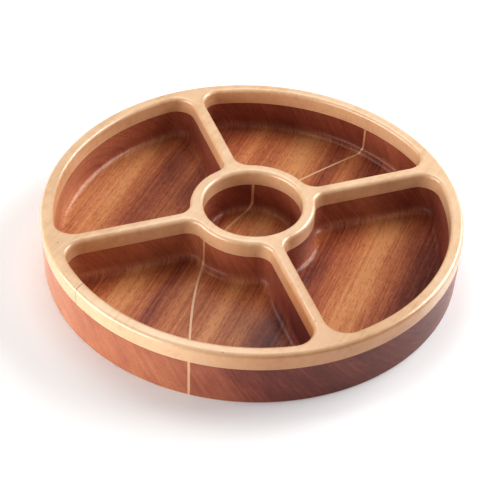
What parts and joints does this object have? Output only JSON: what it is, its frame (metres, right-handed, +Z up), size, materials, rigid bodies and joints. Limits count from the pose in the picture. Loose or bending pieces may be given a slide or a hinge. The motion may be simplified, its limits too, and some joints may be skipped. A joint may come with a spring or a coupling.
{
  "type": "chip and dip server",
  "caption": "Round two-tone wooden chip and dip server with coved compartments around a central dip bowl, a light top layer over a dark block, and a thin curved inlay strip.",
  "frame": {"origin": "centre of the flat underside", "axes": "+Z up through the dip bowl; +X and +Y along two of the dividers, with the other two along -X and -Y; the picture looks from about -111 degrees round from +X, and 42 degrees up"},
  "size_m": [0.3048, 0.3048, 0.0444],
  "materials": {
    "mahogany": "satin varnish over ribbon-striped mahogany",
    "maple_top": "satin varnish over pale maple",
    "maple_inlay": "satin varnish over pale maple, flush with the mahogany"
  },
  "bodies": {
    "root": {"mahogany_block_inside_bend": "mahogany", "mahogany_block_outside_bend": "mahogany", "inlay_strip": "maple_inlay", "maple_side_board": "maple_top", "maple_wide_board": "maple_top"}
  },
  "joints": []
}
